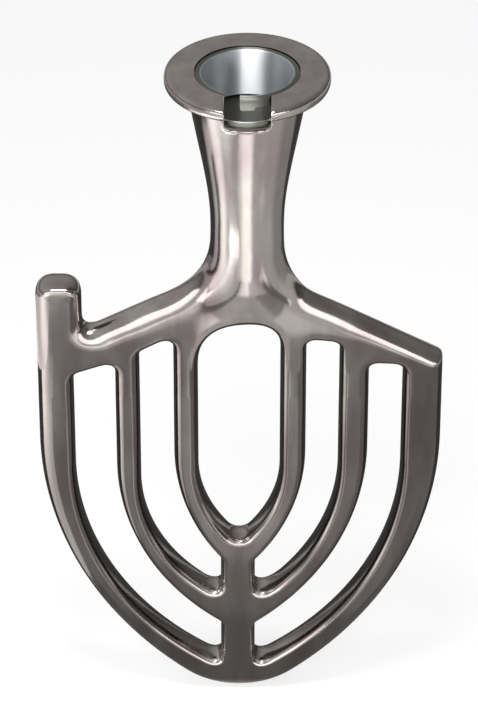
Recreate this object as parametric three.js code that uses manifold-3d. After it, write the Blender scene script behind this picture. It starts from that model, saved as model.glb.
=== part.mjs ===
// Flat beater of a small planetary mixer: one aluminium casting with a steel liner pressed in its hub.
// Millimetres, +Z up. The origin is on the hub's axis, level with the flange's top face.
// The blades lie in the XZ plane, which is the casting's parting plane, and the pin slot faces -Y.
import * as THREE from "three";
import { mergeVertices } from "three/addons/utils/BufferGeometryUtils.js";
import Module from "manifold-3d";

const wasm = await Module();
wasm.setup();

// Steel liner, pressed in the hub, with a lip in the flange's top face
const linerBoreRadius = 14.3;
const linerWall = 0.9;
const linerDepth = 16.2;
const linerLipWidth = 1;
const linerLipThickness = 0.9;
const linerRecess = 0.3;
const pressClearance = 0.25;
const boreFloorClearance = 0.8;

// Bayonet slot in the liner's front wall, and the notch in the casting that uncovers it
const pinSlotWidth = 4.8;
const tongueWidth = 4.6;
const tongueLength = 4.8;
const pinSlotDepth = 9.6;
const lockRise = 1.1;
const notchMargin = 1.3;

// Flange, hub and shank. A depth is measured down from the flange's top face.
const hubWall = 3.25;
const flangeWidth = 7.05;
const flangeThickness = 4;
const flangeEdgeRound = 1.5;
const underFlangeFillet = 1.6;
const waistRadius = 11.6;
const waistDepth = 54;

// Frame: the flat cast plate with the blades
const frameThickness = 11;
const partingBand = 1.5;
const frameOffset = -2.55;

// How far each edge of the frame rounds over towards the flat face
const windowEdgeWidth = 2.5;
const rimEdgeWidthLeft = 4.2;
const rimEdgeWidthRight = 3.6;
const armEdgeWidth = 7;
const armEndEdgeWidthRight = 4.6;
const hornTopEdgeWidth = 1.5;
const hornInsideEdgeWidth = 4.5;

// Cross bar, with the horn on its left end. A drop is measured down from the left arm's shoulder.
const shoulderDepth = 73.4;
const shoulderDropRight = 2.1;
const shoulderRadiusLeft = 25;
const shoulderRadiusRight = 8;
const saddleDrop = 21.2;
const saddleRadius = 3.6;
const cornerDropRight = 30;
const hornHeight = 19.1;
const hornWidth = 14.7;
const hornCornerRadius = 5;
const crossBarHeight = 17.6;

// Windows and blades beside each other, from the middle line outwards. Left and right differ a little.
const centralWindowWidth = 26.5;
const innerBladeWidthLeft = 7.9;
const innerBladeWidthRight = 8.4;
const middleWindowWidthLeft = 10.9;
const middleWindowWidthRight = 10.6;
const middleBladeWidthLeft = 7.9;
const middleBladeWidthRight = 9.6;
const outerWindowWidthLeft = 13.4;
const outerWindowWidthRight = 10.8;
const outerBladeWidthLeft = 11.5;
const outerBladeWidthRight = 12.8;
const spineWidth = 11.3;
const spineOffset = -0.4;

// Windows and blades under each other, on the frame's middle line
const centralWindowHeight = 83.4;
const innerBladeFoot = 11.6;
const middleWindowFoot = 12;
const middleBladeFoot = 13.8;
const outerWindowFoot = 15.5;
const outerBladeFoot = 9.5;

// Radius of each blade edge on the middle line
const innerInsideRadius = 4;
const innerOutsideRadius = 8.3;
const middleInsideRadius = 18.4;
const middleOutsideRadius = 10;
const outerInsideRadius = 16.4;
const tipRadius = 29.8;

// Height over which the side of each blade's inside edge curves in, how much less it is on the left,
// and how much more it is on the blade's outside edge
const innerCurve = 29;
const innerCurveRise = 16;
const middleCurve = 53.5;
const middleCurveLossLeft = 7.1;
const middleCurveRise = 19.5;
const outerCurve = 82.7;
const outerCurveLossLeft = 0.9;
const outerCurveRise = 19.7;

// Tops of the windows: how far each lies below the central window's top, and its fall towards the rim
const centralCornerRadiusLeft = 16.4;
const centralCornerRadiusRight = 9.4;
const middleTopDropLeft = 4.3;
const middleTopFallLeft = 6;
const middleTopDropRight = 5.5;
const middleTopFallRight = 1.1;
const outerTopDropLeft = 14.2;
const outerTopFallLeft = 4.7;
const outerTopDropRight = 14.5;
const outerTopFallRight = 0.6;
const windowCornerRadius = 3.2;
const spineCornerRadius = 3.4;

// Root: where the round shank flattens into the cross bar
const rootOverlap = 4;
const rootFootMargin = 3.5;
const rootHalfWidth = 33;
const rootHalfDepth = 5.3;

// What follows from these sizes. A level is a Z height.
const linerOuterRadius = linerBoreRadius + linerWall;
const hubBoreRadius = linerOuterRadius + pressClearance;
const hubBoreDepth = linerDepth + boreFloorClearance;
const hubRadius = hubBoreRadius + hubWall;
const flangeRadius = hubRadius + flangeWidth;
const notchWidth = 2 * pinSlotWidth + tongueWidth;
const notchDepth = pinSlotDepth + notchMargin;
const shoulderLevel = -shoulderDepth;
const centralTopLevel = shoulderLevel - crossBarHeight;
const innerInsideLevel = centralTopLevel - centralWindowHeight;
const innerOutsideLevel = innerInsideLevel - innerBladeFoot;
const middleInsideLevel = innerOutsideLevel - middleWindowFoot;
const middleOutsideLevel = middleInsideLevel - middleBladeFoot;
const outerInsideLevel = middleOutsideLevel - outerWindowFoot;
const tipLevel = outerInsideLevel - outerBladeFoot;

// Numbers of steps, the least step along an outline, and how far a cut runs past the material
const roundSteps = 64;
const curveSteps = 13;
const cornerSteps = 5;
const edgeSteps = 3;
const leastStep = 0.02;
const overrun = 5;

function toSolid(geometry) {
  geometry.deleteAttribute("normal");
  geometry.deleteAttribute("uv");
  const merged = mergeVertices(geometry, 1e-4);
  const vertProperties = new Float32Array(merged.attributes.position.array);
  const triVerts = new Uint32Array(merged.index.array);
  return new wasm.Manifold(new wasm.Mesh({ numProp: 3, vertProperties, triVerts }));
}

function toMesh(name, solid, material) {
  const mesh = solid.getMesh();
  const geometry = new THREE.BufferGeometry();
  geometry.setAttribute("position", new THREE.BufferAttribute(mesh.vertProperties, 3));
  geometry.setIndex(new THREE.BufferAttribute(mesh.triVerts, 1));
  geometry.computeVertexNormals();
  const named = new THREE.Mesh(geometry, material);
  named.name = name;
  return named;
}

// A solid of revolution about Z, from a closed profile of [radius, level] pairs that runs upwards outside.
function revolve(profile) {
  const points = profile.map(([radius, level]) => new THREE.Vector2(radius, level));
  return toSolid(new THREE.LatheGeometry(points, roundSteps).rotateX(Math.PI / 2));
}

// An upright prism: an outline in X and Z, extruded along Y from front to back.
function prism(outline, front, back) {
  const geometry = new THREE.ExtrudeGeometry(outline, { depth: back - front, bevelEnabled: false });
  return toSolid(geometry.rotateX(Math.PI / 2).translate(0, back, 0));
}

// One side of a blade edge as points from topLevel down to where it is reach from the middle line:
// straight at halfWidth, then a large side arc, then an arc centred on the middle line down to bottomLevel.
function bladeEdge(edge, topLevel, reach) {
  const { halfWidth, bottomLevel, radius, curve } = edge;
  const drop = curve - radius;
  const sideRadius = (halfWidth ** 2 + drop ** 2 - radius ** 2) / (2 * (halfWidth - radius));
  const turn = Math.atan2(drop, sideRadius - halfWidth);
  const turnToReach = Math.acos(1 - (halfWidth - reach) / sideRadius);
  const sideTurn = Math.min(turn, turnToReach);
  const points = [new THREE.Vector2(halfWidth, topLevel)];
  for (let i = 0; i <= curveSteps; i++) {
    const angle = (sideTurn * i) / curveSteps;
    points.push(new THREE.Vector2(
      halfWidth - sideRadius * (1 - Math.cos(angle)),
      bottomLevel + curve - sideRadius * Math.sin(angle),
    ));
  }
  if (turnToReach <= turn) return points;
  const end = Math.acos(reach / radius);
  for (let i = 1; i <= curveSteps; i++) {
    const angle = turn + ((end - turn) * i) / curveSteps;
    points.push(new THREE.Vector2(
      radius * Math.cos(angle),
      bottomLevel + radius - radius * Math.sin(angle),
    ));
  }
  return points;
}

// Cuts length off the end of a run of points.
function trimmed(points, length) {
  const kept = points.map((p) => p.clone());
  let left = length;
  while (kept.length > 2 && left > kept.at(-1).distanceTo(kept.at(-2))) {
    left -= kept.at(-1).distanceTo(kept.at(-2));
    kept.pop();
  }
  const last = kept.pop();
  const run = last.distanceTo(kept.at(-1));
  kept.push(last.clone().lerp(kept.at(-1), Math.min(left / run, 1)));
  return kept;
}

// A closed outline of sides that meet end to start, with a corner of radii[i] where side i ends.
// edgeWidths[i] holds how far the frame's edge rounds over at the start and at the end of side i.
function roundedOutline(sides, radii, edgeWidths) {
  const count = sides.length;
  const cutBack = sides.map((side, i) => {
    const next = sides[(i + 1) % count];
    const before = side.at(-1).clone().sub(side.at(-2));
    const after = next[1].clone().sub(next[0]);
    return radii[i] * Math.tan(before.angleTo(after) / 2);
  });
  const outline = [];
  sides.forEach((side, i) => {
    const fromStart = trimmed([...side].reverse(), cutBack[(i + count - 1) % count]).reverse();
    const run = trimmed(fromStart, cutBack[i]);
    const next = trimmed([...sides[(i + 1) % count]].reverse(), cutBack[i]).at(-1);
    const [startWidth, endWidth] = edgeWidths[i];
    const [nextWidth] = edgeWidths[(i + 1) % count];
    outline.push(...withWidths(run, startWidth, endWidth));
    if (cutBack[i] > 0) {
      const corner = new THREE.QuadraticBezierCurve(run.at(-1), side.at(-1), next);
      outline.push(...withWidths(corner.getPoints(cornerSteps), endWidth, nextWidth).slice(1, -1));
    }
  });
  return outline.filter(({ point }, i) => {
    return point.distanceTo(outline[(i + 1) % outline.length].point) > leastStep;
  });
}

// Gives each point of a run its edge width, which changes steadily along the run.
function withWidths(run, startWidth, endWidth) {
  const lengths = [0];
  run.slice(1).forEach((point, i) => lengths.push(lengths[i] + point.distanceTo(run[i])));
  const growth = (endWidth - startWidth) / Math.max(lengths.at(-1), Number.EPSILON);
  return run.map((point, i) => ({ point, edgeWidth: startWidth + growth * lengths[i] }));
}

const onSide = (points, sign) => points.map((p) => new THREE.Vector2(frameOffset + sign * p.x, p.y));

// Half-widths from the frame's middle line, on one side
function sideWidths(innerBlade, middleWindow, middleBlade, outerWindow, outerBlade) {
  const innerInside = centralWindowWidth / 2;
  const innerOutside = innerInside + innerBlade;
  const middleInside = innerOutside + middleWindow;
  const middleOutside = middleInside + middleBlade;
  const outerInside = middleOutside + outerWindow;
  return { innerInside, innerOutside, middleInside, middleOutside, outerInside, rim: outerInside + outerBlade };
}

const leftSide = {
  sign: -1,
  ...sideWidths(
    innerBladeWidthLeft,
    middleWindowWidthLeft,
    middleBladeWidthLeft,
    outerWindowWidthLeft,
    outerBladeWidthLeft,
  ),
  middleTop: centralTopLevel - middleTopDropLeft,
  middleFall: middleTopFallLeft,
  outerTop: centralTopLevel - outerTopDropLeft,
  outerFall: outerTopFallLeft,
  middleInsideCurve: middleCurve - middleCurveLossLeft,
  outerInsideCurve: outerCurve - outerCurveLossLeft,
};
const rightSide = {
  sign: 1,
  ...sideWidths(
    innerBladeWidthRight,
    middleWindowWidthRight,
    middleBladeWidthRight,
    outerWindowWidthRight,
    outerBladeWidthRight,
  ),
  middleTop: centralTopLevel - middleTopDropRight,
  middleFall: middleTopFallRight,
  outerTop: centralTopLevel - outerTopDropRight,
  outerFall: outerTopFallRight,
  middleInsideCurve: middleCurve,
  outerInsideCurve: outerCurve,
};

const outerOutside = (side) => ({
  halfWidth: side.rim,
  bottomLevel: tipLevel,
  radius: tipRadius,
  curve: side.outerInsideCurve + outerCurveRise,
});
const outerInside = (side) => ({
  halfWidth: side.outerInside,
  bottomLevel: outerInsideLevel,
  radius: outerInsideRadius,
  curve: side.outerInsideCurve,
});
const middleOutside = (side) => ({
  halfWidth: side.middleOutside,
  bottomLevel: middleOutsideLevel,
  radius: middleOutsideRadius,
  curve: side.middleInsideCurve + middleCurveRise,
});
const middleInside = (side) => ({
  halfWidth: side.middleInside,
  bottomLevel: middleInsideLevel,
  radius: middleInsideRadius,
  curve: side.middleInsideCurve,
});
const innerOutside = (side) => ({
  halfWidth: side.innerOutside,
  bottomLevel: innerOutsideLevel,
  radius: innerOutsideRadius,
  curve: innerCurve + innerCurveRise,
});
const innerInside = (side) => ({
  halfWidth: side.innerInside,
  bottomLevel: innerInsideLevel,
  radius: innerInsideRadius,
  curve: innerCurve,
});

// A window between two blades on one side: its rim edge down to the spine, up it, and the near edge back.
function bladeWindow(side, rimEdge, nearEdge, topLevel, fall) {
  const reach = spineWidth / 2 + side.sign * spineOffset;
  const rim = onSide(bladeEdge(rimEdge, topLevel - fall, reach), side.sign);
  const near = onSide(bladeEdge(nearEdge, topLevel, reach), side.sign).reverse();
  const spine = [rim.at(-1), near[0]];
  const top = [near.at(-1), rim[0]];
  const sides = [rim, spine, near, top];
  const radii = [spineCornerRadius, spineCornerRadius, windowCornerRadius, windowCornerRadius];
  return roundedOutline(sides, radii, sides.map(() => [windowEdgeWidth, windowEdgeWidth]));
}

function centralWindow() {
  const left = onSide(bladeEdge(innerInside(leftSide), centralTopLevel, 0), leftSide.sign);
  const right = onSide(bladeEdge(innerInside(rightSide), centralTopLevel, 0), rightSide.sign).reverse();
  const sides = [left, right, [right.at(-1), left[0]]];
  const radii = [0, centralCornerRadiusRight, centralCornerRadiusLeft];
  return roundedOutline(sides, radii, sides.map(() => [windowEdgeWidth, windowEdgeWidth]));
}

// The frame's outline: from the shank down the left arm, round the horn and the blade, and up the right arm.
function frameOutline() {
  const at = (x, level) => new THREE.Vector2(x, level);
  const neckTopLevel = -hubBoreDepth;
  const saddleLevel = shoulderLevel - saddleDrop;
  const hornTopLevel = saddleLevel + hornHeight;
  const hornRight = frameOffset - leftSide.rim + hornWidth;
  const leftRim = onSide(bladeEdge(outerOutside(leftSide), hornTopLevel, 0), leftSide.sign);
  const cornerLevelRight = shoulderLevel - cornerDropRight;
  const rightRim = onSide(bladeEdge(outerOutside(rightSide), cornerLevelRight, 0), rightSide.sign).reverse();
  const corners = [
    at(-waistRadius, neckTopLevel),
    at(-waistRadius, shoulderLevel),
    at(hornRight, saddleLevel),
    at(hornRight, hornTopLevel),
    leftRim[0],
  ];
  const [leftNeck, leftArm, hornInside, hornTop] = corners.slice(1).map((corner, i) => [corners[i], corner]);
  const rightArm = [rightRim.at(-1), at(waistRadius, shoulderLevel - shoulderDropRight)];
  const rightNeck = [rightArm[1], at(waistRadius, neckTopLevel)];
  const neckTop = [rightNeck[1], corners[0]];
  return roundedOutline(
    [leftNeck, leftArm, hornInside, hornTop, leftRim, rightRim, rightArm, rightNeck, neckTop],
    [shoulderRadiusLeft, saddleRadius, hornCornerRadius, hornCornerRadius, 0, 0, shoulderRadiusRight, 0, 0],
    [
      [armEdgeWidth, armEdgeWidth],
      [armEdgeWidth, armEdgeWidth],
      [hornInsideEdgeWidth, hornInsideEdgeWidth],
      [hornTopEdgeWidth, hornTopEdgeWidth],
      [rimEdgeWidthLeft, rimEdgeWidthLeft],
      [rimEdgeWidthLeft, rimEdgeWidthRight],
      [armEndEdgeWidthRight, armEdgeWidth],
      [armEdgeWidth, armEdgeWidth],
      [armEdgeWidth, armEdgeWidth],
    ],
  );
}

// The outline's points, moved into the material by a share of their edge widths.
// The material lies on the left of an outline's run.
function insetRing(outline, share) {
  const count = outline.length;
  return outline.map(({ point, edgeWidth }, i) => {
    const before = point.clone().sub(outline[(i + count - 1) % count].point).normalize();
    const after = outline[(i + 1) % count].point.clone().sub(point).normalize();
    const along = before.add(after);
    const inward = new THREE.Vector2(-along.y, along.x);
    return point.clone().addScaledVector(inward, (2 * edgeWidth * share) / along.lengthSq());
  });
}

// The plate. Its edges round over like quarter ellipses, from the parting band in the middle of its
// thickness to the flat faces.
function framePlate() {
  const outlines = [frameOutline(), centralWindow()];
  for (const side of [leftSide, rightSide]) {
    outlines.push(bladeWindow(side, middleInside(side), innerOutside(side), side.middleTop, side.middleFall));
    outlines.push(bladeWindow(side, outerInside(side), middleOutside(side), side.outerTop, side.outerFall));
  }
  outlines.forEach((outline, i) => {
    const clockwise = THREE.ShapeUtils.isClockWise(outline.map(({ point }) => point));
    if (clockwise === (i === 0)) outline.reverse();
  });
  const backSections = [];
  for (let i = 0; i <= edgeSteps; i++) {
    const angle = (Math.PI * i) / (2 * edgeSteps);
    backSections.push({
      depth: partingBand / 2 + ((frameThickness - partingBand) / 2) * Math.sin(angle),
      insetShare: 1 - Math.cos(angle),
    });
  }
  const frontSections = backSections.map(({ depth, insetShare }) => ({ depth: -depth, insetShare }));
  return stack(outlines, [...frontSections.reverse(), ...backSections]);
}

// A closed skin over sections of the outlines, listed from the front to the back
function stack(outlines, sections) {
  const positions = [];
  let rings = [];
  for (const { depth, insetShare } of sections) {
    rings = outlines.map((outline) => insetRing(outline, insetShare));
    positions.push(...rings.flat().flatMap((point) => [point.x, depth, point.y]));
  }
  const sectionSize = rings.flat().length;
  const index = [];
  for (let lower = 0; lower < (sections.length - 1) * sectionSize; lower += sectionSize) {
    let start = lower;
    for (const ring of rings) {
      for (let k = 0; k < ring.length; k++) {
        const here = start + k;
        const next = start + ((k + 1) % ring.length);
        index.push(here, here + sectionSize, next + sectionSize, here, next + sectionSize, next);
      }
      start += ring.length;
    }
  }
  const back = (sections.length - 1) * sectionSize;
  for (const [a, b, c] of THREE.ShapeUtils.triangulateShape(rings[0], rings.slice(1))) {
    index.push(a, b, c, back + a, back + c, back + b);
  }
  const geometry = new THREE.BufferGeometry();
  geometry.setAttribute("position", new THREE.Float32BufferAttribute(positions, 3));
  geometry.setIndex(index);
  return toSolid(geometry);
}

// Flange, hub and tapering shank, down to the waist
function hubAndShank() {
  const waistLevel = -waistDepth;
  const outline = new THREE.Path();
  outline.moveTo(0, waistLevel);
  outline.lineTo(waistRadius, waistLevel);
  const taper = waistLevel + flangeThickness;
  const lowShare = 0.72;
  const highShare = 0.46;
  const highRadiusShare = 0.52;
  outline.bezierCurveTo(
    waistRadius,
    -flangeThickness + taper * lowShare,
    waistRadius + (hubRadius - waistRadius) * highRadiusShare,
    -flangeThickness + taper * highShare,
    hubRadius,
    -flangeThickness - underFlangeFillet,
  );
  outline.quadraticCurveTo(
    hubRadius,
    -flangeThickness,
    hubRadius + underFlangeFillet,
    -flangeThickness,
  );
  outline.lineTo(flangeRadius - flangeEdgeRound, -flangeThickness);
  outline.quadraticCurveTo(flangeRadius, -flangeThickness, flangeRadius, -flangeThickness + flangeEdgeRound);
  outline.lineTo(flangeRadius, -flangeEdgeRound);
  outline.quadraticCurveTo(flangeRadius, 0, flangeRadius - flangeEdgeRound, 0);
  outline.lineTo(0, 0);
  const points = outline.getPoints(cornerSteps).map((p) => [p.x, p.y]);
  return revolve(points);
}

// Level sections of the root, from the waist to the cross bar: shares of its height, its growth in width,
// its loss of depth, and the power of each section's curve, which falls as the flanks hollow out
function shankRoot() {
  const heightShares = [0, 0.2, 0.4, 0.58, 0.74, 0.88, 1];
  const widthShares = [0, 0, 0.02, 0.11, 0.3, 0.62, 1];
  const depthShares = [0, 0, 0, 0.05, 0.25, 0.65, 1];
  const curvePowers = [2, 2, 1.95, 1.8, 1.6, 1.4, 1.3];
  const rootTopLevel = rootOverlap - waistDepth;
  const rootBottomLevel = centralTopLevel + rootFootMargin;
  const rings = heightShares.map((share, i) => {
    const level = rootTopLevel + (rootBottomLevel - rootTopLevel) * share;
    const halfWidth = waistRadius + (rootHalfWidth - waistRadius) * widthShares[i];
    const halfDepth = waistRadius + (rootHalfDepth - waistRadius) * depthShares[i];
    const ring = [];
    for (let k = 0; k < roundSteps; k++) {
      const angle = (2 * Math.PI * k) / roundSteps;
      const reach = (value) => Math.sign(value) * Math.abs(value) ** (2 / curvePowers[i]);
      ring.push([halfWidth * reach(Math.cos(angle)), halfDepth * reach(Math.sin(angle)), level]);
    }
    return ring;
  });
  return loft(rings);
}

// A closed skin over level rings of points, listed from the top ring down
function loft(rings) {
  const count = rings[0].length;
  const positions = rings.flat(2);
  const index = [];
  for (let r = 0; r + 1 < rings.length; r++) {
    for (let k = 0; k < count; k++) {
      const next = (k + 1) % count;
      const upper = r * count;
      const lower = upper + count;
      index.push(upper + k, lower + k, upper + next, upper + next, lower + k, lower + next);
    }
  }
  const topCentre = rings.length * count;
  const bottomCentre = topCentre + 1;
  const lastRing = (rings.length - 1) * count;
  positions.push(0, 0, rings[0][0][2], 0, 0, rings.at(-1)[0][2]);
  for (let k = 0; k < count; k++) {
    const next = (k + 1) % count;
    index.push(topCentre, k, next, bottomCentre, lastRing + next, lastRing + k);
  }
  const geometry = new THREE.BufferGeometry();
  geometry.setAttribute("position", new THREE.Float32BufferAttribute(positions, 3));
  geometry.setIndex(index);
  return toSolid(geometry);
}

// The hub's blind bore, with a shallow seat for the liner's lip
function hubBore() {
  const seatRadius = linerOuterRadius + linerLipWidth + pressClearance;
  const seatLevel = -linerRecess - linerLipThickness - pressClearance;
  return revolve([
    [0, -hubBoreDepth],
    [hubBoreRadius, -hubBoreDepth],
    [hubBoreRadius, seatLevel],
    [seatRadius, seatLevel],
    [seatRadius, overrun],
    [0, overrun],
  ]);
}

// The notch through the front of the flange and hub
function frontNotch() {
  const half = notchWidth / 2;
  const outline = new THREE.Shape([
    new THREE.Vector2(-half, -notchDepth),
    new THREE.Vector2(half, -notchDepth),
    new THREE.Vector2(half, overrun),
    new THREE.Vector2(-half, overrun),
  ]);
  return prism(outline, -flangeRadius - overrun, -linerBoreRadius * Math.SQRT1_2);
}

// The bayonet slot: in at the open left leg, along the floor, and up into the closed right leg
function pinSlot() {
  const half = notchWidth / 2;
  const top = -linerRecess;
  const tongueTip = top - tongueLength;
  const lockTop = tongueTip + lockRise;
  const tongueHalf = tongueWidth / 2;
  const outline = new THREE.Shape([
    new THREE.Vector2(-half, -pinSlotDepth),
    new THREE.Vector2(half, -pinSlotDepth),
    new THREE.Vector2(half, lockTop),
    new THREE.Vector2(tongueHalf, lockTop),
    new THREE.Vector2(tongueHalf, tongueTip),
    new THREE.Vector2(-tongueHalf, tongueTip),
    new THREE.Vector2(-tongueHalf, overrun),
    new THREE.Vector2(-half, overrun),
  ]);
  return prism(outline, -flangeRadius, -linerBoreRadius * Math.SQRT1_2);
}

function hubLiner() {
  const top = -linerRecess;
  const lipRadius = linerOuterRadius + linerLipWidth;
  const tube = revolve([
    [linerBoreRadius, top],
    [linerBoreRadius, -linerDepth],
    [linerOuterRadius, -linerDepth],
    [linerOuterRadius, top - linerLipThickness],
    [lipRadius, top - linerLipThickness],
    [lipRadius, top],
    [linerBoreRadius, top],
  ]);
  return tube.subtract(pinSlot());
}

function beaterCasting() {
  return framePlate().add(shankRoot()).add(hubAndShank()).subtract(hubBore()).subtract(frontNotch());
}

const castAluminium = new THREE.MeshStandardMaterial({ color: 0x7a716e, metalness: 1, roughness: 0.32 });
const turnedSteel = new THREE.MeshStandardMaterial({ color: 0x8b8d8b, metalness: 1, roughness: 0.24 });

const beater = new THREE.Group();
beater.name = "flat_beater";
beater.add(toMesh("beater_casting", beaterCasting(), castAluminium));
beater.add(toMesh("hub_liner", hubLiner(), turnedSteel));

export default beater;
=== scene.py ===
import math

import bmesh
import bpy
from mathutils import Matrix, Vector


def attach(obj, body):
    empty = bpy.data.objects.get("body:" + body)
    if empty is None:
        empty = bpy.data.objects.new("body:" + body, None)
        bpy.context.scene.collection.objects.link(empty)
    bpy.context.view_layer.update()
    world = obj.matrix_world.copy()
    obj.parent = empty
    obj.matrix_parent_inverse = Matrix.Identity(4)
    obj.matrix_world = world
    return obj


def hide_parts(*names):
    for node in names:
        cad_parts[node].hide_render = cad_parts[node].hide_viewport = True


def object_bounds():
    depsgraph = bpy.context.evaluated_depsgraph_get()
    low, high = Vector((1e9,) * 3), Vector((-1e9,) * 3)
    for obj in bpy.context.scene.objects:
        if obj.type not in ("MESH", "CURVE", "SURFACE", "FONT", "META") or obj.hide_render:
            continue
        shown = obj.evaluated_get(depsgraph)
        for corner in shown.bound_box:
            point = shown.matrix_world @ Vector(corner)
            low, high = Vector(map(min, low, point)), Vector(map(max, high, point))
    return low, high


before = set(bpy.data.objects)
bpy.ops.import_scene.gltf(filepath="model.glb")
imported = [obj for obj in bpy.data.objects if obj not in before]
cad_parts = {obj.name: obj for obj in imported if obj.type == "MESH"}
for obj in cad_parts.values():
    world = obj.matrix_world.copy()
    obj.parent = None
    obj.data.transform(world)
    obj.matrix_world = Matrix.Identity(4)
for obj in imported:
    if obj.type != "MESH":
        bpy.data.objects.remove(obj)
cad_low, cad_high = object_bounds()

# Lengths are in millimetres, in the frame's axes: the origin is on the hub's axis, level with the top of
# the flange
MM = 0.001

# The body that both pieces ride on, and the floor, which the tip stands on
ROOT = "root"
FLOOR_LEVEL = cad_low.z / MM

# Camera: it looks along +Y and down by its pitch in degrees. Its focal length is in the photo's pixels.
CAMERA_PLACE = (-2.575, -1044.424, 590.907)
CAMERA_PITCH = 33.7263
SENSOR = 24.0
PHOTO_HEIGHT_PIXELS = 720
FOCAL_PIXELS = 3904.084

# Steel liner and the bayonet slot in its front wall
LINER_BORE_RADIUS = 14.3
LINER_WALL = 0.9
LINER_DEPTH = 16.2
LIP_WIDTH = 1.0
LIP_THICKNESS = 0.9
LINER_RECESS = 0.3
LINER_CHAMFER = 0.25
PRESS_CLEARANCE = 0.25
BORE_FLOOR_CLEARANCE = 0.8
SLOT_WIDTH = 4.8
TONGUE_WIDTH = 4.6
TONGUE_LENGTH = 4.8
SLOT_DEPTH = 9.6
LOCK_RISE = 1.1
SLOT_CORNER = 0.7
LOCK_CORNER = 0.35
NOTCH_MARGIN = 1.3

# Flange, hub and shank
HUB_WALL = 3.25
FLANGE_WIDTH = 7.05
FLANGE_THICKNESS = 4.0
FLANGE_EDGE_ROUND = 1.5
UNDER_FLANGE_FILLET = 1.6
WAIST_RADIUS = 11.6
WAIST_DEPTH = 54.0
# The taper from hub to waist is a curve pulled at these shares of its height, and at this one of its radius
UPPER_PULL_HEIGHT = 0.46
UPPER_PULL_RADIUS = 0.52
LOWER_PULL_HEIGHT = 0.72

# Frame: the flat plate with the blades, whose middle line lies beside the hub's axis. An edge's width is how
# far it rounds over into the faces.
FRAME_THICKNESS = 11.0
PARTING_BAND = 0.6
FRAME_OFFSET = -2.55
WINDOW_EDGE = 2.5
RIM_EDGE_LEFT = 4.2
RIM_EDGE_RIGHT = 3.6
ARM_EDGE = 7.0
ARM_END_EDGE = 4.6
HORN_TOP_EDGE = 1.5
HORN_INSIDE_EDGE = 4.5

# Cross bar and horn. A drop is measured down from the left arm's shoulder.
SHOULDER_DEPTH = 73.4
SHOULDER_DROP_RIGHT = 2.1
SHOULDER_RADIUS_LEFT = 25.0
SHOULDER_RADIUS_RIGHT = 8.0
SADDLE_DROP = 21.2
SADDLE_RADIUS = 3.6
CORNER_DROP_RIGHT = 30.0
HORN_HEIGHT = 19.1
HORN_WIDTH = 14.7
HORN_CORNER_RADIUS = 5.0
CROSS_BAR_HEIGHT = 17.6

# Blades and windows from the middle line outwards, on the left and the right
CENTRAL_WINDOW = 26.5
PIECES = ("inner_blade", "middle_window", "middle_blade", "outer_window", "outer_blade")
WIDTHS = {
    -1: dict(zip(PIECES, (7.9, 10.9, 7.9, 13.4, 11.5))),
    1: dict(zip(PIECES, (8.4, 10.6, 9.6, 10.8, 12.8))),
}
SPINE_WIDTH = 11.3
SPINE_OFFSET = -0.4

# Blades and windows down the middle line
CENTRAL_WINDOW_HEIGHT = 83.4
INNER_BLADE_FOOT = 11.6
MIDDLE_WINDOW_FOOT = 12.0
MIDDLE_BLADE_FOOT = 13.8
OUTER_WINDOW_FOOT = 15.5
OUTER_BLADE_FOOT = 9.5

# Each blade edge: its radius on the middle line, and the height over which its side curves in on each side
INNER_INSIDE = {"radius": 4.0, "curve": {-1: 29.0, 1: 29.0}}
INNER_OUTSIDE = {"radius": 8.3, "curve": {-1: 45.0, 1: 45.0}}
MIDDLE_INSIDE = {"radius": 18.4, "curve": {-1: 46.4, 1: 53.5}}
MIDDLE_OUTSIDE = {"radius": 10.0, "curve": {-1: 65.9, 1: 73.0}}
OUTER_INSIDE = {"radius": 16.4, "curve": {-1: 81.8, 1: 82.7}}
TIP = {"radius": 29.8, "curve": {-1: 101.5, 1: 102.4}}

# Window tops: how far each lies below the central window's top, and its fall towards the rim
CENTRAL_CORNER_LEFT = 16.4
CENTRAL_CORNER_RIGHT = 9.4
MIDDLE_TOP = {-1: {"drop": 4.3, "fall": 6.0}, 1: {"drop": 5.5, "fall": 1.1}}
OUTER_TOP = {-1: {"drop": 14.2, "fall": 4.7}, 1: {"drop": 14.5, "fall": 0.6}}
WINDOW_CORNER = 3.2
SPINE_CORNER = 3.4

# Root: where the round shank flattens into the cross bar. At each of these shares of its height from the
# top down, its section has this share of the widening and of the thinning, and its curve has this power.
ROOT_OVERLAP = 4.0
ROOT_FOOT_MARGIN = 3.5
ROOT_HALF_WIDTH = 33.0
ROOT_HALF_DEPTH = 5.3
ROOT_HEIGHTS = [0, 0.2, 0.4, 0.58, 0.74, 0.88, 1]
ROOT_WIDENING = [0, 0, 0.02, 0.11, 0.3, 0.62, 1]
ROOT_THINNING = [0, 0, 0, 0.05, 0.25, 0.65, 1]
ROOT_POWERS = [2, 2, 1.95, 1.8, 1.6, 1.4, 1.3]

# Where tumbling has rounded the root's skin more, each from where this starts to where it is full. The
# hollow is where the root runs out on the cross bar's faces.
ROOT_TOP = (-58.0, -72.0)
ROOT_BOTTOM = (-88.0, -82.0)
ROOT_SIDES = (34.0, 22.0)
HOLLOW_BOTTOM = (-98.0, -88.0)
HOLLOW_SIDES = (1.2 * ROOT_HALF_WIDTH, ROOT_HALF_WIDTH)
HOLLOW_FACES = (0.3 * FRAME_THICKNESS, 0.42 * FRAME_THICKNESS)

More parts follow.
